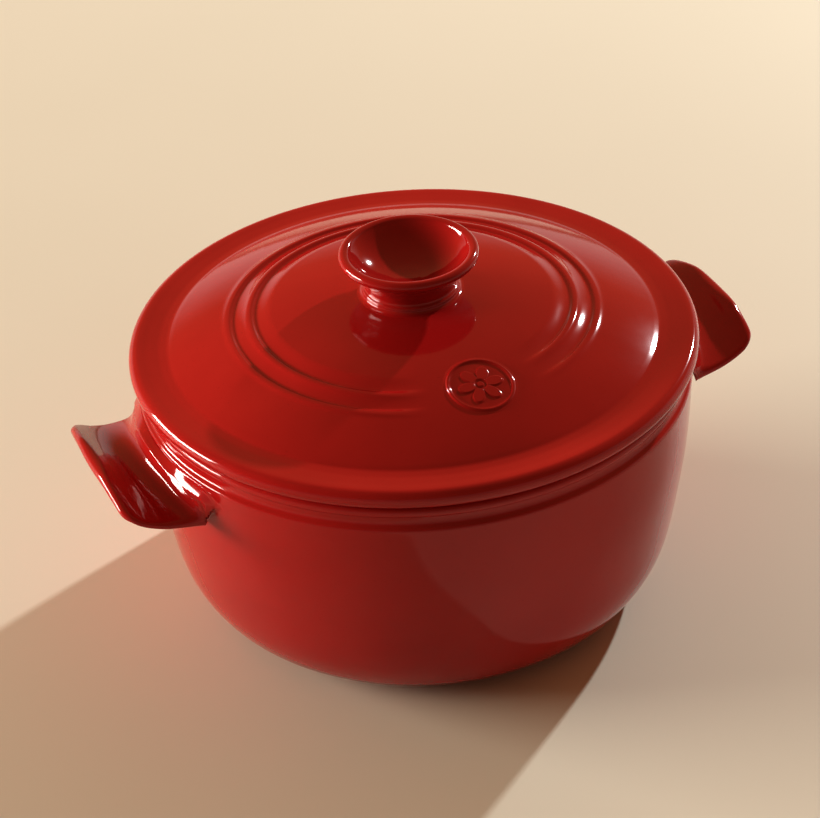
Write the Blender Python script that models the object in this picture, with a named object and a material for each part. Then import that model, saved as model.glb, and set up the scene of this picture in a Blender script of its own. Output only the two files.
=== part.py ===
"""Round soup tureen of glazed ceramic: a pot with two lug handles and a lid with a flared knob.

The origin is at the centre of the foot, +X runs along the handles and the lid's medallion faces -Y.
Lengths below are in millimetres and become metres when a mesh is made.
"""

import math

import bmesh
import bpy

MM = 0.001
GAP = 0.3
SEGMENTS = 48

# Pot, from the foot up.
FOOT_INNER_RADIUS = 69.0
FOOT_RADIUS = 79.0
FOOT_HEIGHT = 1.8
BASE_UNDERSIDE = 2.4
BELLY_START = (81.0, 1.9)
BELLY_MIDDLE = ((93.0, 2.9), (103.0, 6.8), (110.5, 14.8), (116.5, 28.0), (120.8, 50.0), (124.8, 78.0))
LEDGE_RADIUS = 127.0
LEDGE_HEIGHT = 110.6
COLLAR_RADIUS = 124.4
COLLAR_HEIGHT = 114.2
RIM_BEAD_RADIUS = 2.7
RIM_BEAD_CENTRE = (123.8, 119.4)
RIM_TOP = 123.1
MOUTH_RADIUS = 118.5
WALL = 8.0
FLOOR_HEIGHT = 10.4

# Lid, measured from its seat on the pot's rim.
SEAT_HEIGHT = RIM_TOP + GAP
LID_RADIUS = 130.0
LID_EDGE_ROUND = 4.3
LID_BAND_INNER = 112.0
LID_BAND_DIP = 0.5
CROWN_RISE = 21.0
CROWN_POWER = 2.3
LID_THICKNESS = 7.0
SEAT_INNER_RADIUS = 107.0
FLANGE_OUTER = 115.6
FLANGE_INNER = 109.4
FLANGE_DEPTH = 11.0

# Two ring-shaped steps pressed into the crown, which die away beside the medallion.
STEP_RADII = (83.0, 73.0)
STEP_WIDTH = 7.5
STEP_SHARP = 1.8
STEP_DEPTH = 0.9
STEP_FADE = (math.radians(18), math.radians(34))

# Medallion ring on the front of the crown.
MEDALLION_CENTRE = 74.5
MEDALLION_RADIUS = 14.2
MEDALLION_WIDTH = 1.7
MEDALLION_HEIGHT = 1.0

# Knob, measured from the top of the crown.
KNOB_SEGMENTS = 32
KNOB_FOOT_RADIUS = 21.8
KNOB_NECK = ((20.6, 3.6), (20.9, 5.8), (22.8, 9.6), (26.0, 13.2), (28.9, 15.9))
KNOB_LIP_CENTRE = (29.3, 18.6)
KNOB_LIP_ROUND = 2.4
KNOB_DISH = ((26.9, 19.6), (22.4, 14.8), (16.8, 10.8), (9.5, 7.8))
KNOB_DISH_FLOOR = 6.8

# Handles: wing-like lugs with a scooped top, a rounded lip that droops at its ends, and a ridge at the root.
HANDLE_SHARES = (-1.0, -0.95, -0.85, -0.66, -0.44, -0.22, 0.0, 0.22, 0.44, 0.66, 0.85, 0.95, 1.0)
HANDLE_ROOT_HALF = 48.0
HANDLE_LIP_HALF = 40.5
CORNER_START = 0.72
LIP_ROUND = 4.2
LIP_DISTANCE = 154.0
LIP_BULGE = 3.6
LIP_CORNER = 5.5
LIP_HEIGHT = 108.9
LIP_DROOP = 10.0
LIP_END_SLIMMING = 0.35
RIDGE_DISTANCE = 131.0
RIDGE_BULGE = 5.4
RIDGE_HEIGHT = 108.6
RIDGE_DROOP = 3.2
SCOOP_SHARES = ((0.1, 3.6), (0.22, 6.2), (0.42, 7.0), (0.66, 5.2), (0.86, 1.9))
SCOOP_END_FLATTENING = 0.45
UNDERSIDE_SHARES = ((0.7, 1.4), (0.4, 4.2), (0.15, 8.0))
ROOT_TOP = 110.2
ROOT_DROP = 13.5
UNDERSIDE_END_FLATTENING = 0.7

GLAZE_RED = (0.33, 0.012, 0.012, 1.0)
GLAZE_ROUGHNESS = 0.12
SMOOTH_LIMIT = math.radians(40)


def clear_scene():
    """Remove every object of the scene."""
    for item in list(bpy.data.objects):
        bpy.data.objects.remove(item, do_unlink=True)


def glaze(name):
    """A glossy red glaze for one sub-part."""
    material = bpy.data.materials.new(name)
    material.use_nodes = True
    shader = material.node_tree.nodes["Principled BSDF"]
    shader.inputs["Base Color"].default_value = GLAZE_RED
    shader.inputs["Roughness"].default_value = GLAZE_ROUGHNESS
    shader.inputs["Metallic"].default_value = 0.0
    return material


def arc(centre, radius, start, end, steps):
    """Points of an arc between two angles in degrees, both ends included."""
    points = []
    for step in range(steps + 1):
        angle = math.radians(start + (end - start) * step / steps)
        points.append((centre[0] + radius * math.cos(angle), centre[1] + radius * math.sin(angle)))
    return points


def curve_through(points, steps):
    """Points of a Catmull-Rom curve through the given ones, both ends included."""
    padded = [points[0], *points, points[-1]]
    result = [points[0]]
    for index in range(1, len(padded) - 2):
        before, start, end, after = padded[index - 1:index + 3]
        for step in range(1, steps + 1):
            t = step / steps
            result.append(tuple(
                0.5 * (2 * b + (c - a) * t + (2 * a - 5 * b + 4 * c - d) * t ** 2
                       + (3 * b - a - 3 * c + d) * t ** 3)
                for a, b, c, d in zip(before, start, end, after)
            ))
    return result


def smooth_share(value, low, high):
    """0 below low, 1 above high, and an even S-curve between."""
    share = min(max((value - low) / (high - low), 0.0), 1.0)
    return share * share * (3 - 2 * share)


def crown_height(radius):
    """Height of the lid's upper surface above its seat, without the ring steps."""
    share = min(radius / LID_BAND_INNER, 1.0)
    return 2 * LID_EDGE_ROUND + CROWN_RISE * (1 - share ** CROWN_POWER)


def step_depth(radius, angle):
    """How far the ring steps sink the crown at one radius and angle."""
    from_front = abs((angle + math.pi / 2 + math.pi) % math.tau - math.pi)
    strength = smooth_share(from_front, *STEP_FADE)
    depth = 0.0
    for step_radius in STEP_RADII:
        inward = step_radius - radius
        if 0 < inward < STEP_SHARP:
            depth = STEP_DEPTH * inward / STEP_SHARP
        elif STEP_SHARP <= inward < STEP_WIDTH:
            depth = STEP_DEPTH * (STEP_WIDTH - inward) / (STEP_WIDTH - STEP_SHARP)
    return depth * strength


def mesh_object(name, shape):
    """Turn a bmesh into a named object with its own glaze, faces pointing out."""
    bmesh.ops.recalc_face_normals(shape, faces=shape.faces)
    mesh = bpy.data.meshes.new(name)
    shape.to_mesh(mesh)
    shape.free()
    mesh.shade_smooth()
    mesh.set_sharp_from_angle(angle=SMOOTH_LIMIT)
    mesh.materials.append(glaze(f"{name}_glaze"))
    item = bpy.data.objects.new(name, mesh)
    bpy.context.scene.collection.objects.link(item)
    return item


def join_rings(shape, first, second):
    """Faces between two rings of vertices; a ring of one vertex is a pole."""
    count = max(len(first), len(second))
    for step in range(count):
        after = (step + 1) % count
        corners = []
        for ring, order in ((first, (step, after)), (second, (after, step))):
            if len(ring) == 1:
                corners.append(ring[0])
            else:
                corners.extend(ring[place] for place in order)
        shape.faces.new(corners)


def turned(name, outline, segments, sink=None):
    """A solid turned about Z from an outline of (radius, height) points.

    An outline that starts and ends on the axis is closed there; any other closes on itself.
    """
    shape = bmesh.new()
    rings = []
    for radius, height in outline:
        ring = []
        for step in range(segments if radius > 0 else 1):
            angle = math.tau * step / segments
            lowered = height - sink(radius, height, angle) if sink else height
            ring.append(shape.verts.new((radius * math.cos(angle) * MM, radius * math.sin(angle) * MM,
                                         lowered * MM)))
        rings.append(ring)
    for first, second in zip(rings, rings[1:]):
        join_rings(shape, first, second)
    if outline[0][0] > 0:
        join_rings(shape, rings[-1], rings[0])
    return mesh_object(name, shape)


def belly_outline():
    """Outer wall of the pot from the foot to the ledge under the collar."""
    return curve_through([BELLY_START, *BELLY_MIDDLE, (LEDGE_RADIUS, LEDGE_HEIGHT)], 2)


def wall_radius(height):
    """Outer radius of the pot's wall at one height."""
    points = belly_outline()
    for (low_radius, low), (high_radius, high) in zip(points, points[1:]):
        if low <= height <= high:
            return low_radius + (high_radius - low_radius) * (height - low) / (high - low)
    return LEDGE_RADIUS


def pot_bowl():
    """Pot with foot ring, belly, ledge, collar, rim bead and hollow inside."""
    foot = [(0.0, BASE_UNDERSIDE), (FOOT_INNER_RADIUS - 2, BASE_UNDERSIDE), (FOOT_INNER_RADIUS, 0.0),
            (FOOT_RADIUS - 0.8, 0.0), (FOOT_RADIUS, 0.6), (FOOT_RADIUS, FOOT_HEIGHT)]
    collar = [(COLLAR_RADIUS + 1.2, LEDGE_HEIGHT + 1.3), (COLLAR_RADIUS, COLLAR_HEIGHT - 0.8),
              (COLLAR_RADIUS, COLLAR_HEIGHT + 1.2)]
    bead = arc(RIM_BEAD_CENTRE, RIM_BEAD_RADIUS, -50, 60, 4)
    mouth = [(RIM_BEAD_CENTRE[0], RIM_TOP), (MOUTH_RADIUS + 1.5, RIM_TOP), (MOUTH_RADIUS, RIM_TOP - 1.5)]
    inside = curve_through([(MOUTH_RADIUS, RIM_TOP - 12), (124.8 - WALL, 78.0), (120.8 - WALL, 50.0),
                            (108.6, 30.0), (100.0, 17.6), (86.0, 11.4), (70.0, FLOOR_HEIGHT)], 2)
    outline = foot + belly_outline() + collar + bead + mouth + inside + [(0.0, FLOOR_HEIGHT)]
    return turned("pot_bowl", outline, SEGMENTS)


def between(start, end, share):
    """Point on the straight line between two points."""
    return tuple(a + (b - a) * share for a, b in zip(start, end))


def handle_section(share):
    """Outline of (distance out, height) at one share of the handle's half width, from ridge to underside."""
    past = max(abs(share) - CORNER_START, 0.0) / (1 - CORNER_START)
    lip = LIP_ROUND * (1 - LIP_END_SLIMMING * past ** 2)
    lip_centre = (LIP_DISTANCE - LIP_BULGE * share ** 2 - LIP_CORNER * past ** 2,
                  LIP_HEIGHT - LIP_DROOP * share ** 2)
    ridge = (RIDGE_DISTANCE - RIDGE_BULGE * share ** 2, RIDGE_HEIGHT - RIDGE_DROOP * share ** 2)
    lip_points = arc(lip_centre, lip, 90, -90, 6)
    depth_share = 1 - SCOOP_END_FLATTENING * share ** 2
    points = [ridge]
    for along, depth in SCOOP_SHARES:
        distance, height = between(ridge, lip_points[0], along)
        points.append((distance, height - depth * depth_share))
    points += lip_points
    for along, drop in UNDERSIDE_SHARES:
        distance = ridge[0] + (lip_centre[0] - ridge[0]) * along
        points.append((distance, lip_points[-1][1] - drop * underside_share(share)))
    return points


def underside_share(share):
    """The underside falls towards the root less at the handle's ends than at its middle."""
    return 1 - UNDERSIDE_END_FLATTENING * share ** 2


def root_heights(share):
    """Heights of the root's points on the pot's wall, bottom to top."""
    lip_bottom = LIP_HEIGHT - LIP_DROOP * share ** 2 - LIP_ROUND
    low = lip_bottom - ROOT_DROP * underside_share(share)
    return low, (low + ROOT_TOP) / 2, ROOT_TOP


def handle_point(share, distance, height):
    """Place of one handle point: the half width narrows from the root to the lip."""
    narrowing = (distance - RIDGE_DISTANCE) / (LIP_DISTANCE - RIDGE_DISTANCE)
    half = HANDLE_ROOT_HALF + (HANDLE_LIP_HALF - HANDLE_ROOT_HALF) * narrowing
    return distance * MM, share * half * MM, height * MM


def root_point(share, height):
    """Place of a point of the root, a small gap off the pot's round wall."""
    across = share * HANDLE_ROOT_HALF
    reach = wall_radius(height) + GAP
    return math.sqrt(reach ** 2 - across ** 2) * MM, across * MM, height * MM


def handle(name, turn):
    """One lug handle, lofted across its width and turned about the pot's axis."""
    shape = bmesh.new()
    sections = []
    for share in HANDLE_SHARES:
        section = [shape.verts.new(root_point(share, height)) for height in root_heights(share)]
        for distance, height in handle_section(share):
            section.append(shape.verts.new(handle_point(share, distance, height)))
        sections.append(section)
    for first, second in zip(sections, sections[1:]):
        join_rings(shape, first, second)
    ends = [shape.faces.new(sections[0]), shape.faces.new(sections[-1])]
    bmesh.ops.triangulate(shape, faces=ends)
    item = mesh_object(name, shape)
    item.rotation_euler.z = turn
    return item


def lid_dome():
    """Crowned lid with a rounded edge, a shallow band inside it and two ring steps."""
    band = [(LID_RADIUS - LID_EDGE_ROUND, 2 * LID_EDGE_ROUND),
            ((LID_RADIUS - LID_EDGE_ROUND + LID_BAND_INNER) / 2, 2 * LID_EDGE_ROUND - LID_BAND_DIP),
            (LID_BAND_INNER, 2 * LID_EDGE_ROUND)]
    edge = arc((LID_RADIUS - LID_EDGE_ROUND, LID_EDGE_ROUND), LID_EDGE_ROUND, -90, 60, 6)
    ring_radii = []
    for step_radius in STEP_RADII:
        ring_radii += [step_radius + 0.01, step_radius - STEP_SHARP, step_radius - STEP_WIDTH]
    top_radii = [106.0, 99.0, 91.0, *ring_radii, 54.0, 40.0, 22.0]
    top = [(radius, crown_height(radius)) for radius in top_radii]
    under_radii = [0.0, 30.0, 55.0, 78.0, 94.0, 103.0]
    under = [(radius, crown_height(radius) - LID_THICKNESS) for radius in under_radii]
    outline = [(0.0, crown_height(0.0))] + top[::-1] + band[::-1] + edge[::-1]
    outline += [(SEAT_INNER_RADIUS, 0.0)] + under[::-1]
    item = turned("lid_dome", outline, SEGMENTS, sink=crown_steps)
    return item


def crown_steps(radius, height, angle):
    """Sink of the lid's outline by the ring steps, on its upper surface only."""
    if height < crown_height(radius) - LID_THICKNESS / 2:
        return 0.0
    return step_depth(radius, angle)


def lid_flange():
    """Locating ring under the lid, which drops inside the pot's mouth."""
    outline = [(FLANGE_INNER, -GAP), (FLANGE_OUTER, -GAP), (FLANGE_OUTER, 2.0 - FLANGE_DEPTH),
               (FLANGE_OUTER - 2.0, -FLANGE_DEPTH), (FLANGE_INNER + 1.5, -FLANGE_DEPTH),
               (FLANGE_INNER, 1.5 - FLANGE_DEPTH)]
    return turned("lid_flange", outline, SEGMENTS)


def lid_knob():
    """Trumpet-shaped knob on a beaded foot, with a deep dish in its top."""
    crown = crown_height(0.0)
    foot = [(radius, crown_height(radius) - crown + GAP) for radius in (0.0, 12.0, KNOB_FOOT_RADIUS - 0.6)]
    bead = arc((KNOB_FOOT_RADIUS - 1.4, 1.5), 1.4, -20, 80, 3)
    lip = arc(KNOB_LIP_CENTRE, KNOB_LIP_ROUND, -50, 130, 6)
    outline = foot + bead + list(KNOB_NECK) + lip + list(KNOB_DISH) + [(0.0, KNOB_DISH_FLOOR)]
    return turned("lid_knob", outline, KNOB_SEGMENTS)


def lid_medallion():
    """Low round frame on the front of the crown, following its slope."""
    shape = bmesh.new()
    profile = ((-0.5, 0.0), (0.5, 0.0), (0.45, 0.5), (0.15, 1.0), (-0.15, 1.0), (-0.45, 0.5))
    rings = []
    for across, up in profile:
        ring = []
        for step in range(KNOB_SEGMENTS):
            angle = math.tau * step / KNOB_SEGMENTS
            radius = MEDALLION_RADIUS + across * MEDALLION_WIDTH
            x = radius * math.cos(angle)
            y = -MEDALLION_CENTRE + radius * math.sin(angle)
            height = crown_height(math.hypot(x, y)) + GAP + up * MEDALLION_HEIGHT
            ring.append(shape.verts.new((x * MM, y * MM, height * MM)))
        rings.append(ring)
    for first, second in zip(rings, rings[1:] + rings[:1]):
        join_rings(shape, first, second)
    return mesh_object("lid_medallion", shape)


def main():
    """Build the tureen and hang the lid's sub-parts on an empty at the middle of its seat."""
    clear_scene()
    pot_bowl()
    handle("handle_right", 0.0)
    handle("handle_left", math.pi)
    seat = bpy.data.objects.new("lid_seat", None)
    seat.location.z = SEAT_HEIGHT * MM
    bpy.context.scene.collection.objects.link(seat)
    knob = lid_knob()
    knob.location.z = crown_height(0.0) * MM
    for item in (lid_dome(), lid_flange(), knob, lid_medallion()):
        item.parent = seat


main()
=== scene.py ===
"""Looks of the round red soup tureen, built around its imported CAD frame."""

import math

import bpy
import numpy as np
from mathutils import Matrix, Vector


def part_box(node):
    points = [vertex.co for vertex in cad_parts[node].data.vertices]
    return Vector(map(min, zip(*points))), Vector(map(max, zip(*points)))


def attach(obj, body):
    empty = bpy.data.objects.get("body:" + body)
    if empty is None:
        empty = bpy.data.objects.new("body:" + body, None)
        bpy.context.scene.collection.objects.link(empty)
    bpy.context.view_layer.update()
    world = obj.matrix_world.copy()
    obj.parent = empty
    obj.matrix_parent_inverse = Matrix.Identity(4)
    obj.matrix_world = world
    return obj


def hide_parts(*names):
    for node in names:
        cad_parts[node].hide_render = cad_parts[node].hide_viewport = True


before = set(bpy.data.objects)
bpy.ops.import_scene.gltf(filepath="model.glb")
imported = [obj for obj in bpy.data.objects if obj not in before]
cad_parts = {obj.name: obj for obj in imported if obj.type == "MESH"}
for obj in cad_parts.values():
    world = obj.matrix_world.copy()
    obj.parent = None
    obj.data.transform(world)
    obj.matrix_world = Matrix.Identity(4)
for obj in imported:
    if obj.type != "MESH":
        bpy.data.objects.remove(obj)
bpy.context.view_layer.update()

MM = 0.001


def corners_mm(node):
    """Lowest and highest corners of a CAD node, in millimetres."""
    return [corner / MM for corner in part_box(node)]


# Places and sizes read from the frame, in millimetres.
POT_HIGH = corners_mm("pot_bowl")[1]
DOME_LOW, DOME_HIGH = corners_mm("lid_dome")
KNOB_HIGH = corners_mm("lid_knob")[1]
FLANGE_LOW, FLANGE_HIGH = corners_mm("lid_flange")
BADGE_LOW, BADGE_HIGH = corners_mm("lid_medallion")
HANDLE_HIGH = corners_mm("handle_right")[1]

TURN_STEPS = 240

# Pot profile.
FOOT_INNER_RADIUS = 69.0
FOOT_RADIUS = 79.0
BASE_UNDERSIDE = 2.4
LEDGE_RADIUS = POT_HIGH.x
LEDGE_HEIGHT = 110.6
COLLAR_RADIUS = LEDGE_RADIUS - 2.6
COLLAR_HEIGHT = 114.6
RIM_TOP = POT_HIGH.z
RIM_BEAD = 2.7
RIM_BEAD_CENTRE = (LEDGE_RADIUS - 3.2, 119.4)
MOUTH_RADIUS = 118.5
WALL = 8.0
FLOOR_HEIGHT = 10.4
BELLY = ((81.0, 1.9), (93.0, 2.9), (103.0, 6.8), (110.5, 14.8), (116.5, 28.0), (120.8, 50.0),
         (124.8, 78.0), (LEDGE_RADIUS, LEDGE_HEIGHT))

# Lid profile.
SEAT = DOME_LOW.z
LID_RADIUS = DOME_HIGH.y
EDGE_ROUND = 4.3
BAND_TOP = SEAT + 2 * EDGE_ROUND
BAND_DIP = 0.55
BAND_INNER = 112.0
BAND_CREASE = 1.2
CROWN_RISE = DOME_HIGH.z - BAND_TOP
CROWN_POWER = 2.3
LID_THICKNESS = 7.0
SEAT_INNER_RADIUS = 107.0
STEP_RADII = (83.0, 73.0)
STEP_REGION = (50.0, 95.0)
STEP_WIDTH = 7.5
STEP_SHARP = 2.2
STEP_LIP = 0.34
STEP_DEPTH = 1.3
STEP_FADE = (math.radians(17), math.radians(38))

# Locating ring under the lid.
FLANGE_THICKNESS = 6.2

# Knob profile.
KNOB_FOOT_RADIUS = 21.8
KNOB_LIP_ROUND = 2.4

# Badge on the front of the crown.
BADGE_CENTRE = (BADGE_LOW.y + BADGE_HIGH.y) / 2
BADGE_RADIUS = 14.2
BADGE_REACH = BADGE_RADIUS + 2.6
BADGE_FRAME_RISE = 0.75
BADGE_PETALS = 6
BADGE_PETAL_RISE = 0.6


def smooth_step(value, low, high):
    """0 below low, 1 above high, with an even S-curve between; works on arrays."""
    share = np.clip((value - low) / (high - low), 0.0, 1.0)
    return share * share * (3 - 2 * share)


def arc(centre, radius, start, end, steps=10):
    """Points of an arc between two angles in degrees."""
    angles = np.radians(np.linspace(start, end, steps + 1))
    return [(centre[0] + radius * math.cos(a), centre[1] + radius * math.sin(a)) for a in angles]


def curve_through(points, steps=8):
    """Points of a Catmull-Rom curve through the given ones."""
    padded = np.array([points[0], *points, points[-1]], float)
    result = [tuple(padded[1])]
    for index in range(1, len(padded) - 2):
        a, b, c, d = padded[index - 1:index + 3]
        for step in range(1, steps + 1):
            t = step / steps
            point = 0.5 * (2 * b + (c - a) * t + (2 * a - 5 * b + 4 * c - d) * t ** 2
                           + (3 * b - a - 3 * c + d) * t ** 3)
            result.append(tuple(point))
    return result


def rounded(points, radius, steps=5):
    """The outline with every inner corner cut by a curve that starts and ends at most radius away from it."""
    points = [np.array(p, float) for p in points]
    result = [tuple(points[0])]
    for before, corner, after in zip(points, points[1:], points[2:]):
        reach_in = min(radius, np.linalg.norm(corner - before) * 0.45)
        reach_out = min(radius, np.linalg.norm(after - corner) * 0.45)
        start = corner + (before - corner) / np.linalg.norm(before - corner) * reach_in
        end = corner + (after - corner) / np.linalg.norm(after - corner) * reach_out
        for t in np.linspace(0, 1, steps + 1):
            result.append(tuple((1 - t) ** 2 * start + 2 * t * (1 - t) * corner + t * t * end))
    result.append(tuple(points[-1]))
    return result


def make_object(name, points, faces, material, sharp=40):
    """A smooth-shaded mesh object from points in millimetres."""
    mesh = bpy.data.meshes.new(name)
    mesh.from_pydata([tuple(p) for p in np.asarray(points) * MM], [], faces)
    mesh.validate()
    mesh.shade_smooth()
    if sharp:
        mesh.set_sharp_from_angle(angle=math.radians(sharp))
    mesh.materials.append(material)
    item = bpy.data.objects.new(name, mesh)
    bpy.context.scene.collection.objects.link(item)
    return item


def turned(name, outline, material, steps=TURN_STEPS, relief=None, sharp=40):
    """Turn an outline of (radius, height) points about Z; points on the axis become poles."""
    points = []
    rings = []
    angles = np.linspace(0, math.tau, steps, endpoint=False)
    for radius, height in outline:
        count = steps if radius > 1e-6 else 1
        turn = angles[:count]
        lift = relief(radius, height, turn) if relief else np.zeros(count)
        first = len(points)
        points.extend(zip(radius * np.cos(turn), radius * np.sin(turn), height + lift))
        rings.append([first + (step % count) for step in range(steps)])
    faces = []
    for low, high in zip(rings, rings[1:]):
        for step in range(steps):
            after = (step + 1) % steps
            corners = [low[step], low[after], high[after], high[step]]
            faces.append(list(dict.fromkeys(corners)))
    return make_object(name, points, faces, material, sharp)


# ---------------------------------------------------------------- materials

def new_material(name):
    """An empty node material with its Principled shader."""
    material = bpy.data.materials.new(name)
    material.use_nodes = True
    return material, material.node_tree.nodes, material.node_tree.links


def noise(nodes, links, scale, detail=3.0):
    """A noise texture read in object space."""
    place = nodes.new("ShaderNodeTexCoord")
    texture = nodes.new("ShaderNodeTexNoise")
    texture.inputs["Scale"].default_value = scale
    texture.inputs["Detail"].default_value = detail
    links.new(place.outputs["Object"], texture.inputs["Vector"])
    return texture.outputs["Fac"]


def ramp(nodes, links, source, stops):
    """A colour ramp over a value: stops are (position, colour)."""
    node = nodes.new("ShaderNodeValToRGB")
    elements = node.color_ramp.elements
    while len(elements) < len(stops):
        elements.new(0.5)
    for element, (position, colour) in zip(elements, stops):
        element.position = position
        element.color = (*colour, 1.0) if len(colour) == 3 else (colour[0], colour[0], colour[0], 1.0)
    links.new(source, node.inputs["Fac"])
    return node.outputs["Color"]


def red_glaze():
    """Deep red glaze with pooled and thin patches, fine dark specks and a faint orange peel."""
    material, nodes, links = new_material("red_glaze")
    shader = nodes["Principled BSDF"]
    shader.inputs["IOR"].default_value = 1.52
    shader.inputs["Specular IOR Level"].default_value = 0.45
    pooling = noise(nodes, links, 9.0, 4.0)
    reds = [(0.3, (0.37, 0.011, 0.010)), (0.5, (0.43, 0.014, 0.013)), (0.72, (0.49, 0.020, 0.017))]
    colour = ramp(nodes, links, pooling, reds)
    specks = ramp(nodes, links, noise(nodes, links, 900.0, 2.0), [(0.68, (0.0,)), (0.76, (1.0,))])
    mix = nodes.new("ShaderNodeMix")
    mix.data_type = "RGBA"
    mix.inputs["B"].default_value = (0.22, 0.004, 0.004, 1.0)
    scale = nodes.new("ShaderNodeMath")
    scale.operation = "MULTIPLY"
    scale.inputs[1].default_value = 0.35
    links.new(specks, scale.inputs[0])
    links.new(scale.outputs["Value"], mix.inputs["Factor"])
    links.new(colour, mix.inputs["A"])
    links.new(mix.outputs["Result"], shader.inputs["Base Color"])
    links.new(ramp(nodes, links, noise(nodes, links, 40.0), [(0.3, (0.07,)), (0.75, (0.11,))]),
              shader.inputs["Roughness"])
    peel = nodes.new("ShaderNodeBump")
    peel.inputs["Strength"].default_value = 0.05
    peel.inputs["Distance"].default_value = 0.0006
    links.new(noise(nodes, links, 120.0, 1.0), peel.inputs["Height"])
    links.new(peel.outputs["Normal"], shader.inputs["Normal"])
    return material


def bare_clay():
    """Unglazed buff clay of the ring the pot stands on."""
    material, nodes, links = new_material("bare_clay")
    shader = nodes["Principled BSDF"]
    grain = noise(nodes, links, 700.0, 5.0)
    links.new(ramp(nodes, links, grain, [(0.3, (0.50, 0.36, 0.25)), (0.7, (0.66, 0.52, 0.39))]),
              shader.inputs["Base Color"])
    links.new(ramp(nodes, links, noise(nodes, links, 300.0), [(0.3, (0.75,)), (0.7, (0.92,))]),
              shader.inputs["Roughness"])
    grit = nodes.new("ShaderNodeBump")
    grit.inputs["Strength"].default_value = 0.4
    grit.inputs["Distance"].default_value = 0.0002
    links.new(grain, grit.inputs["Height"])
    links.new(grit.outputs["Normal"], shader.inputs["Normal"])
    return material


def floor_finish():
    """Plain pale warm floor."""
    material, nodes, links = new_material("pale_floor")
    shader = nodes["Principled BSDF"]
    shader.inputs["Roughness"].default_value = 0.55
    shader.inputs["Specular IOR Level"].default_value = 0.5
    tones = [(0.3, (0.68, 0.66, 0.545)), (0.7, (0.71, 0.69, 0.575))]
    links.new(ramp(nodes, links, noise(nodes, links, 2.0), tones), shader.inputs["Base Color"])
    return material


GLAZE = red_glaze()
CLAY = bare_clay()


# ---------------------------------------------------------------- pot

def belly_curve():
    """Outer wall from the foot to the ledge."""
    return curve_through(list(BELLY), 14)


def pot_outline():
    """Closed outline of the pot, from the middle of its underside round to the middle of its floor."""
    foot = rounded([(0.0, BASE_UNDERSIDE), (FOOT_INNER_RADIUS - 2.5, BASE_UNDERSIDE),
                    (FOOT_INNER_RADIUS, 0.0), (FOOT_RADIUS - 0.6, 0.0), (FOOT_RADIUS, 0.9),
                    (FOOT_RADIUS + 0.2, 1.7), BELLY[0]], 0.8)
    ledge = rounded([(LEDGE_RADIUS - 0.25, LEDGE_HEIGHT - 3), (LEDGE_RADIUS, LEDGE_HEIGHT + 0.6),
                     (COLLAR_RADIUS + 0.5, LEDGE_HEIGHT + 2.0), (COLLAR_RADIUS, COLLAR_HEIGHT),
                     (COLLAR_RADIUS + 0.3, RIM_BEAD_CENTRE[1] - RIM_BEAD)], 1.4, 6)
    bead = arc(RIM_BEAD_CENTRE, RIM_BEAD, -62, 78, 14)
    mouth = rounded([bead[-1], (RIM_BEAD_CENTRE[0] - 0.8, RIM_TOP), (MOUTH_RADIUS + 0.4, RIM_TOP),
                     (MOUTH_RADIUS, RIM_TOP - 2.0), (MOUTH_RADIUS - 0.2, RIM_TOP - 10)], 1.6, 6)
    inside = curve_through([(MOUTH_RADIUS - 0.2, RIM_TOP - 10), (BELLY[6][0] - WALL, BELLY[6][1]),
                            (BELLY[5][0] - WALL, BELLY[5][1]), (108.6, 30.0), (100.0, 17.6), (86.0, 11.4),
                            (70.0, FLOOR_HEIGHT), (40.0, FLOOR_HEIGHT)], 10)
    return foot + belly_curve()[1:-8] + ledge + bead[1:] + mouth[1:] + inside[1:] + [(0.0, FLOOR_HEIGHT)]


def make_pot():
    """The pot's turned body; the flat ring it stands on is left as bare clay."""
    pot = turned("pot_body", pot_outline(), GLAZE)
    pot.data.materials.append(CLAY)
    for face in pot.data.polygons:
        centre = face.center / MM
        if centre.z < 0.35 and FOOT_INNER_RADIUS - 0.6 < math.hypot(centre.x, centre.y) < FOOT_RADIUS:
            face.material_index = 1
    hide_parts("pot_bowl")
    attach(pot, "pot")


# ---------------------------------------------------------------- handles

LIP_ROUND = 2.8
LIP = {"distance": HANDLE_HIGH.x - LIP_ROUND, "bulge": 3.2, "height": 108.9, "droop": 9.6}
RIDGE_RADIUS = 131.0
RIDGE_NARROWING = 1.2
RIDGE_HEIGHT = 109.5
RIDGE_DROOP = 10.8
RIDGE_ROUND = 0.8
ROOT_HALF = 44.5
LIP_HALF = 41.5
CORNER_ROUND = 7.0
SIDE_ROUND = 3.4
ROOT_TOP = LEDGE_HEIGHT - 0.3
SCOOP = ((0.0, 0.0), (0.03, 1.9), (0.08, 4.4), (0.17, 6.3), (0.32, 7.4), (0.52, 7.2), (0.73, 5.0),
         (0.9, 1.7), (1.0, 0.0))
THICKNESS = ((0.0, 15.0), (0.12, 10.5), (0.3, 7.6), (0.55, 6.4), (0.8, 5.9), (1.0, 5.6))
END_FLATTENING = 0.42
END_SLIMMING = 0.46
ROOT_FILLET = 9.0
SKIN = 0.02
HANDLE_REGION = ((104.0, -64.0, 80.0), (160.0, 64.0, 112.5))
HANDLE_CELL = 0.8


def wall_radius(height):
    """Outer radius of the pot's wall, drawn in just under the ledge so that the handle runs into it."""
    curve = np.array(belly_curve())
    return np.interp(height, curve[:, 1], curve[:, 0]) - 4.0 * smooth_step(height, 109.0, 110.6)


def along_curve(points, share):
    """Value of a smooth curve through (share, value) points."""
    dense = np.array(curve_through(list(points), 12))
    return np.interp(share, dense[:, 0], dense[:, 1])


def lip_line(y):
    """Distance out and height of the middle of the lip at y."""
    share = (y / LIP_HALF) ** 2
    return LIP["distance"] - LIP["bulge"] * share, LIP["height"] - LIP["droop"] * share


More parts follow.
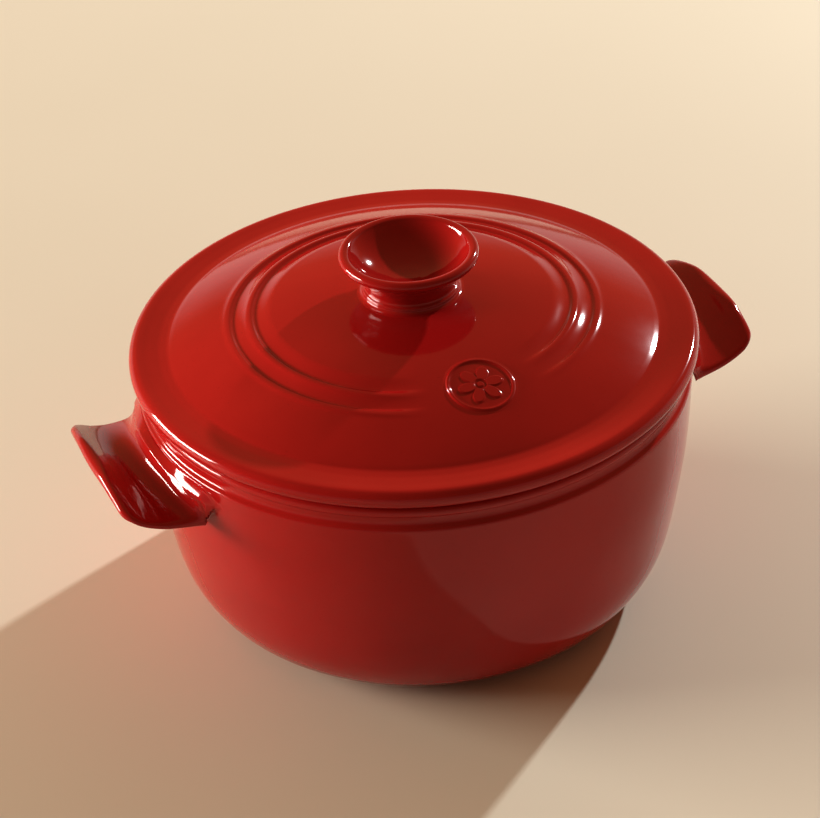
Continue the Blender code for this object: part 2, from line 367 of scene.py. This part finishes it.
def ridge_line(y):
    """Radius from the pot's axis and height of the ridge across the root at y."""
    share = (y / ROOT_HALF) ** 2
    return RIDGE_RADIUS - RIDGE_NARROWING * share, RIDGE_HEIGHT - RIDGE_DROOP * share


def soft_minimum(a, b, blend):
    """The smaller of two values, blended where they are nearly equal."""
    nearness = np.maximum(blend - np.abs(a - b), 0) / blend
    return np.minimum(a, b) - nearness ** 2 * blend / 4


def handle_top(x, y):
    """Height of the upper surface: a facet from the ledge down to the ridge, then the scoop to the lip."""
    lip_x, lip_z = lip_line(y)
    ridge_radius, ridge_z = ridge_line(y)
    ridge_x = np.sqrt(ridge_radius ** 2 - y ** 2)
    share = (x - ridge_x) / (lip_x - ridge_x)
    inside = np.clip(share, 0, 1)
    depth = along_curve(SCOOP, inside) * (1 - END_FLATTENING * np.minimum((y / LIP_HALF) ** 2, 1.2))
    inward = ridge_radius - np.hypot(x, y)
    slope = (ROOT_TOP - ridge_z) / (ridge_radius - LEDGE_RADIUS)
    facet = ridge_z + np.minimum(np.where(inward > 0, inward * slope, -inward), ROOT_TOP - ridge_z)
    scoop = ridge_z + (lip_z + LIP_ROUND - ridge_z) * inside - depth + (slope + 1.5) * np.maximum(inward, 0)
    return soft_minimum(facet, scoop, RIDGE_ROUND)


def handle_thickness(x, y):
    """Thickness under the upper surface, growing towards the root and slimmer at the two ends."""
    lip_x, _ = lip_line(y)
    ridge_x = np.sqrt(ridge_line(y)[0] ** 2 - y ** 2)
    share = np.clip((x - ridge_x) / (lip_x - ridge_x), 0, 1)
    return along_curve(THICKNESS, share) * (1 - END_SLIMMING * np.minimum((y / LIP_HALF) ** 2, 1.2))


def rounded_both(a, b, radius):
    """Distance-like value of the overlap of two shapes, with its edge rounded."""
    deep = np.minimum(np.maximum(a, b), -radius)
    return deep + np.hypot(np.maximum(a + radius, 0), np.maximum(b + radius, 0))


def handle_parts(points):
    """Values of the wall and of the handle alone, and how widely they blend, at points."""
    x, y, z = points.T
    wall = np.hypot(x, y) - wall_radius(z)
    lip_x, _ = lip_line(y)
    narrowing = np.clip((x - RIDGE_RADIUS) / (LIP["distance"] - RIDGE_RADIUS), -0.5, 1.2)
    half_width = ROOT_HALF + (LIP_HALF - ROOT_HALF) * narrowing
    plan = rounded_both(x - lip_x - LIP_ROUND, np.abs(y) - half_width, CORNER_ROUND)
    top = handle_top(x, y)
    slope_x = (handle_top(x + 0.2, y) - top) / 0.2
    slope_y = (handle_top(x, y + 0.2) - top) / 0.2
    steepness = np.sqrt(1 + slope_x ** 2 + slope_y ** 2)
    half = handle_thickness(x, y) / 2
    level = np.maximum((z - top) / np.minimum(steepness, 6.0), top - 2 * half - z)
    body = rounded_both(level, plan, np.minimum(half * 0.98, SIDE_ROUND))
    blend = 0.05 + ROOT_FILLET * (1 - smooth_step(z, 102.0, 110.0))
    return wall, body, blend


def handle_value(points):
    """Below 0 inside the union of the pot's wall and the handle, with a fillet between them."""
    wall, body, blend = handle_parts(points)
    return soft_minimum(wall, body, blend) - SKIN


def slope_of(value, points, reach):
    """Gradient of value at points, from differences over reach either way."""
    return np.stack([(value(points + step) - value(points - step)) / (2 * reach)
                     for step in np.eye(3) * reach], axis=1)


def settle(value, points, rounds=12):
    """Move points along the slope of value until they lie on its zero surface."""
    for _ in range(rounds):
        slope = slope_of(value, points, 0.05)
        length = np.maximum((slope ** 2).sum(axis=1), 0.2)
        points = points - slope * np.clip(value(points) / length, -0.6, 0.6)[:, None]
    return points


def zero_surface(value, low, high, cell):
    """Points and quads over the zero surface of value in a box, one point for each grid cell it crosses."""
    axes = [np.arange(start, end + cell, cell) for start, end in zip(low, high)]
    corners = np.stack(np.meshgrid(*axes, indexing="ij"), axis=-1)
    inside = (value(corners.reshape(-1, 3)) < 0).reshape(corners.shape[:3])
    nx, ny, nz = (length - 1 for length in inside.shape)
    offsets = [(i, j, k) for i in (0, 1) for j in (0, 1) for k in (0, 1)]
    count = sum(inside[i:i + nx, j:j + ny, k:k + nz].astype(int) for i, j, k in offsets)
    crossed = (count > 0) & (count < 8)
    number = np.full(crossed.shape, -1)
    number[crossed] = np.arange(crossed.sum())
    middles = corners[:-1, :-1, :-1][crossed] + cell / 2
    points = middles + np.clip(settle(value, middles) - middles, -0.6 * cell, 0.6 * cell)
    quads = []
    for axis in range(3):
        side_a, side_b = (axis + 1) % 3, (axis + 2) % 3
        ahead = np.roll(inside, -1, axis=axis)
        edges = np.argwhere(inside != ahead)
        fits = edges[:, axis] < inside.shape[axis] - 1
        for side in (side_a, side_b):
            fits &= (edges[:, side] > 0) & (edges[:, side] < inside.shape[side] - 1)
        edges = edges[fits]
        leaves = inside[tuple(edges.T)]
        back_a, back_b = np.eye(3, dtype=int)[side_a], np.eye(3, dtype=int)[side_b]
        around = [edges - back_a - back_b, edges - back_b, edges, edges - back_a]
        ring = np.stack([number[tuple(place.T)] for place in around], axis=1)
        quads.append(np.where(leaves[:, None], ring, ring[:, ::-1]))
    return points, np.concatenate(quads)


def handle_surface():
    """Points, quads and normals of the right handle and its fillets, cut off where it fades into the wall."""
    points, quads = zero_surface(handle_value, *HANDLE_REGION, HANDLE_CELL)
    wall, body, blend = handle_parts(points)
    kept = (body - wall < blend + 2.5) & (points[:, 2] < HANDLE_REGION[1][2] - 1)
    quads = quads[kept[quads].all(axis=1)]
    used = np.unique(quads)
    renumber = np.zeros(len(points), int)
    renumber[used] = np.arange(len(used))
    normals = slope_of(handle_value, points[used], 0.6)
    return points[used], renumber[quads], normals / np.linalg.norm(normals, axis=1)[:, None]


def make_handles():
    """The two lug handles, the same surface turned to each side."""
    points, quads, normals = handle_surface()
    sides = (("pot_handle_right", "handle_right", 1), ("pot_handle_left", "handle_left", -1))
    for name, replaced, turn in sides:
        half_turn = np.array([turn, turn, 1])
        handle = make_object(name, points * half_turn, quads.tolist(), GLAZE, 0)
        handle.data.normals_split_custom_set_from_vertices((normals * half_turn).tolist())
        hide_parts(replaced)
        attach(handle, "pot")


# ---------------------------------------------------------------- lid

def crown_height(radius):
    """Height of the lid's upper surface inside its band, without the ring steps."""
    share = np.minimum(np.asarray(radius) / BAND_INNER, 1.0)
    return BAND_TOP + CROWN_RISE * (1 - share ** CROWN_POWER)


def ring_steps(radius, turn):
    """Height change of the two ring steps: a soft lip, a short drop and a slow rise inwards."""
    from_front = np.abs((turn + math.pi / 2 + math.pi) % math.tau - math.pi)
    strength = smooth_step(from_front, *STEP_FADE)
    change = 0.0
    for step_radius in STEP_RADII:
        inward = step_radius - radius
        lip = STEP_LIP * math.exp(-((inward + 1.6) / 1.5) ** 2)
        fall = smooth_step(inward, -0.3, STEP_SHARP)
        drop = fall * (1 - smooth_step(inward, STEP_SHARP - 0.4, STEP_WIDTH + 2.2))
        change += lip - STEP_DEPTH * drop
    return change * strength


def lid_relief(radius, height, turn):
    """Relief on the crown's upper side only."""
    inner, outer = STEP_REGION
    if radius > outer or radius < inner or height < crown_height(radius) - LID_THICKNESS / 2:
        return np.zeros(len(turn))
    return ring_steps(radius, turn)


def lid_outline():
    """Outline of the lid from the top of its crown, round the edge, to the middle of its underside."""
    middle = np.linspace(0, 50, 26)
    stepped = np.linspace(50.5, 92, 140)
    outer = np.linspace(93, BAND_INNER - 2, 18)
    radii = np.concatenate([middle, stepped, outer])
    crown = [(r, float(crown_height(r))) for r in radii]
    edge_centre = (LID_RADIUS - EDGE_ROUND, SEAT + EDGE_ROUND)
    band = rounded([crown[-1], (BAND_INNER, BAND_TOP - 0.15), (BAND_INNER + 4, BAND_TOP - BAND_DIP),
                    (LID_RADIUS - EDGE_ROUND - 4, BAND_TOP - BAND_DIP * 0.6),
                    (edge_centre[0] - 0.3, BAND_TOP)], BAND_CREASE, 6)
    edge = arc(edge_centre, EDGE_ROUND, 90, -90, 28)
    under_radii = [SEAT_INNER_RADIUS - 4, 94.0, 78.0, 55.0, 30.0]
    hollow = [(r, float(crown_height(r)) - LID_THICKNESS) for r in (*under_radii, 0.0)]
    under = rounded([edge[-1], (SEAT_INNER_RADIUS, SEAT), *hollow], 5.0, 6)
    return crown + band[1:] + edge[1:] + under[1:]


def make_lid():
    """Lid plate with its crown, ring steps, shallow band and rounded edge."""
    lid = turned("lid_plate", lid_outline(), GLAZE, steps=288, relief=lid_relief, sharp=50)
    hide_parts("lid_dome")
    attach(lid, "lid")


def make_flange():
    """Locating ring under the lid."""
    outer, top = FLANGE_HIGH.x, FLANGE_HIGH.z
    bottom = FLANGE_LOW.z
    inner = outer - FLANGE_THICKNESS
    outline = rounded([(inner, top), (outer, top), (outer, bottom + 2), (outer - 2, bottom),
                       (inner + 1.5, bottom), (inner, bottom + 1.5), (inner, top)], 1.2)
    flange = turned("lid_locating_ring", outline, GLAZE)
    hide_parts("lid_flange")
    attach(flange, "flange")


def knob_outline():
    """Outline of the knob from its seat on the crown to the bottom of its dish."""
    top = KNOB_HIGH.z
    foot = KNOB_FOOT_RADIUS
    crown = float(crown_height(0.0))
    at_foot = float(crown_height(foot))
    lip_centre = (KNOB_HIGH.x - KNOB_LIP_ROUND, top - KNOB_LIP_ROUND)
    fillet = curve_through([(foot + 3.0, float(crown_height(foot + 3.0)) - 0.1), (foot + 1.3, at_foot + 0.25),
                            (foot + 0.3, at_foot + 1.1)], 5)
    bead = arc((foot - 1.3, crown + 1.5), 1.4, -5, 70, 8)
    neck = curve_through([(20.7, crown + 3.4), (20.6, crown + 4.6), (21.3, crown + 7.4), (23.4, crown + 11.0),
                          (26.2, crown + 14.0), (29.0, crown + 16.2)], 8)
    lip = arc(lip_centre, KNOB_LIP_ROUND, -45, 100, 16)
    rim = [(lip_centre[0] - 1.6, top - 0.35)]
    dish = curve_through([(lip_centre[0] - 2.1, top - 0.75), (26.0, top - 2.4), (22.0, top - 6.6),
                          (16.6, top - 10.4), (9.8, top - 13.2), (4.0, top - 14.2)], 8)
    return fillet + bead + neck + lip + rim + dish + [(0.0, top - 14.4)]


def make_knob():
    """Trumpet-shaped knob with a beaded foot and a dished top."""
    knob = turned("lid_knob_glazed", knob_outline(), GLAZE, steps=160, sharp=50)
    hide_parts("lid_knob")
    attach(knob, "lid")


def badge_rise(rho, psi):
    """Height of the badge above the crown, at a distance and an angle from its own middle."""
    frame_rise = BADGE_FRAME_RISE * math.exp(-((rho - BADGE_RADIUS) / 0.75) ** 4)
    petal_edge = 3.2 + 7.2 * abs(math.cos(BADGE_PETALS / 2 * psi)) ** 0.7
    petal_share = smooth_step(petal_edge - rho, -0.45, 0.45) * smooth_step(rho, 2.2, 3.0)
    petal = BADGE_PETAL_RISE * float(petal_share)
    eye = BADGE_PETAL_RISE * float(1 - smooth_step(rho, 1.1, 1.9))
    sunk = -0.1 * float(1 - smooth_step(rho, BADGE_RADIUS - 2.0, BADGE_RADIUS - 0.8))
    skirt = 0.16 * float(1 - smooth_step(rho, BADGE_RADIUS + 1.2, BADGE_REACH)) - 0.05
    return [frame_rise, petal, eye, sunk, skirt]


def make_medallion():
    """Round frame with a plain six-petal rosette, raised on the front of the crown."""
    rings, steps = 84, 180
    points = []
    for ring in range(rings + 1):
        rho = BADGE_REACH * ring / rings
        for psi in np.linspace(0, math.tau, steps, endpoint=False):
            x = rho * math.cos(psi)
            y = BADGE_CENTRE + rho * math.sin(psi)
            height = float(crown_height(math.hypot(x, y)))
            for rise in badge_rise(rho, psi):
                height += rise
            points.append((x, y, height))
    faces = []
    for ring in range(rings):
        inner, outer = ring * steps, (ring + 1) * steps
        for step in range(steps):
            after = (step + 1) % steps
            faces.append([inner + step, outer + step, outer + after, inner + after])
    badge = make_object("lid_medallion_rosette", points, faces, GLAZE, 0)
    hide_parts("lid_medallion")
    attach(badge, "lid")


# ---------------------------------------------------------------- studio

VIEW_TURN = math.radians(21.6)
VIEW_TILT = math.radians(34.21)
VIEW_ROLL = math.radians(3.48)
CAMERA_PLACE = (-0.3851, -0.9629, 0.7923)
CAMERA_LENS = 118.5
FLOOR_HALF = 6.0
LIGHT_TARGET = (0.0, 0.0, 0.08)
SKY = ((0.0, (0.95, 0.88, 0.78)), (0.12, (0.80, 0.73, 0.65)), (0.30, (0.55, 0.26, 0.12)),
       (1.0, (0.50, 0.24, 0.11)))
# Below 1 it darkens the middle tones of the whole rendered picture; no material has it.
PICTURE_GAMMA = 0.82


def make_camera():
    """Camera above the front left of the tureen, looking down past it."""
    forward = Vector((math.sin(VIEW_TURN) * math.cos(VIEW_TILT), math.cos(VIEW_TURN) * math.cos(VIEW_TILT),
                      -math.sin(VIEW_TILT)))
    level = Vector((math.cos(VIEW_TURN), -math.sin(VIEW_TURN), 0.0))
    upright = level.cross(forward)
    right = level * math.cos(VIEW_ROLL) - upright * math.sin(VIEW_ROLL)
    up = level * math.sin(VIEW_ROLL) + upright * math.cos(VIEW_ROLL)
    data = bpy.data.cameras.new("camera")
    data.sensor_width = 36.0
    data.lens = CAMERA_LENS
    camera = bpy.data.objects.new("camera", data)
    axes = Matrix((right, up, -forward)).transposed()
    camera.matrix_world = Matrix.Translation(CAMERA_PLACE) @ axes.to_4x4()
    bpy.context.scene.collection.objects.link(camera)
    bpy.context.scene.camera = camera


def studio_place(right, away, up):
    """A place given as seen from the camera: to the right, away from it and up, in metres."""
    c, s = math.cos(VIEW_TURN), math.sin(VIEW_TURN)
    return Vector((right * c + away * s, away * c - right * s, up))


def area_light(name, place, target, size, watts, colour):
    """A rectangular area light aimed at a target."""
    data = bpy.data.lights.new(name, "AREA")
    data.shape = "RECTANGLE"
    data.size, data.size_y = size
    data.energy = watts
    data.color = colour
    light = bpy.data.objects.new(name, data)
    light.location = place
    light.rotation_euler = (Vector(target) - Vector(place)).to_track_quat("-Z", "Y").to_euler()
    bpy.context.scene.collection.objects.link(light)


def make_floor():
    """Plain floor, which isn't part of the object."""
    corners = [(-FLOOR_HALF, -FLOOR_HALF, 0), (FLOOR_HALF, -FLOOR_HALF, 0), (FLOOR_HALF, FLOOR_HALF, 0),
               (-FLOOR_HALF, FLOOR_HALF, 0)]
    mesh = bpy.data.meshes.new("floor")
    mesh.from_pydata(corners, [], [(0, 1, 2, 3)])
    mesh.materials.append(floor_finish())
    floor = bpy.data.objects.new("floor", mesh)
    bpy.context.scene.collection.objects.link(floor)


def make_lights():
    """A small key light from behind on the right, and a large warm window on the left."""
    key_place = studio_place(1.45, 1.75, 1.2)
    window_place = studio_place(-2.9, 0.42, 0.75)
    area_light("key", key_place, LIGHT_TARGET, (0.07, 0.07), 56.0, (0.93, 0.98, 1.0))
    area_light("left_window", window_place, LIGHT_TARGET, (1.8, 0.7), 138.0, (1.0, 0.95, 0.87))


def make_room():
    """World light: pale near the horizon, warm brown above it, and darker towards the camera."""
    world = bpy.data.worlds.new("room")
    bpy.context.scene.world = world
    world.use_nodes = True
    nodes, links = world.node_tree.nodes, world.node_tree.links
    place = nodes.new("ShaderNodeTexCoord")
    split = nodes.new("ShaderNodeSeparateXYZ")
    links.new(place.outputs["Generated"], split.inputs["Vector"])
    sky = ramp(nodes, links, split.outputs["Z"], SKY)
    facing = nodes.new("ShaderNodeVectorMath")
    facing.operation = "DOT_PRODUCT"
    facing.inputs[1].default_value = (math.sin(VIEW_TURN) / 2, math.cos(VIEW_TURN) / 2, 0.0)
    links.new(place.outputs["Generated"], facing.inputs[0])
    shift = nodes.new("ShaderNodeMath")
    shift.inputs[1].default_value = 0.5
    links.new(facing.outputs["Value"], shift.inputs[0])
    shade = ramp(nodes, links, shift.outputs["Value"], [(0.25, (0.42,)), (0.85, (1.0,))])
    mix = nodes.new("ShaderNodeMix")
    mix.data_type = "RGBA"
    mix.blend_type = "MULTIPLY"
    mix.inputs["Factor"].default_value = 1.0
    links.new(sky, mix.inputs["A"])
    links.new(shade, mix.inputs["B"])
    background = nodes["Background"]
    links.new(mix.outputs["Result"], background.inputs["Color"])
    background.inputs["Strength"].default_value = 1.0


def make_studio():
    """Floor, lights and room, with the tone of the rendered picture."""
    make_floor()
    make_lights()
    make_room()
    bpy.context.scene.view_settings.view_transform = "Standard"
    bpy.context.scene.view_settings.gamma = PICTURE_GAMMA


make_camera()
make_studio()
make_pot()
make_lid()
make_flange()
make_knob()
make_medallion()
make_handles()
